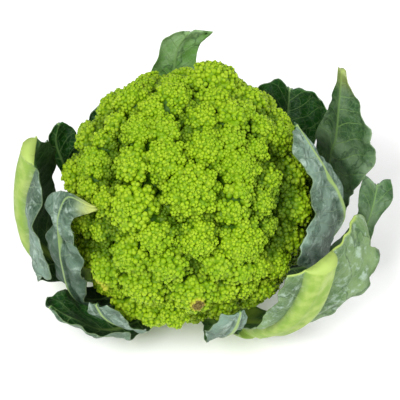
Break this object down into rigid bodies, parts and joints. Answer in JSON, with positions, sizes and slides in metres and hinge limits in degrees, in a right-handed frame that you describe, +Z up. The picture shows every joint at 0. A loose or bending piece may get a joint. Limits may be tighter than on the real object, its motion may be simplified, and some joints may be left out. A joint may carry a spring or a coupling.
{
  "type": "romanesco head",
  "caption": "Romanesco head of pointed green florets covered in small buds, wrapped by ribbed leaves on a cut stem.",
  "frame": {"origin": "middle of the stem's cut face, on the surface that the head stands on", "axes": "+Z up along the stem, -Y towards the side that the picture shows, +X to its right"},
  "size_m": [0.2178, 0.1762, 0.1611],
  "materials": {
    "curd": "fresh yellow-green buds, slightly waxy, darker and greener in the gaps",
    "stem": "pale green fibrous stem with a cream cut face",
    "leaf": "dark green inner face, blue-grey waxy bloom outside, pale ribs and veins"
  },
  "bodies": {
    "root": {"curd": "curd", "stem": "stem", "leaf_left_outer": "leaf", "leaf_left_front": "leaf", "leaf_left_low": "leaf", "leaf_left_small": "leaf", "leaf_left_back": "leaf", "leaf_back_low": "leaf", "leaf_back": "leaf", "leaf_back_side": "leaf", "leaf_back_right": "leaf", "leaf_right_back": "leaf", "leaf_right_outer": "leaf", "leaf_right_inner": "leaf", "leaf_right_front": "leaf", "leaf_front_small": "leaf"}
  },
  "joints": []
}
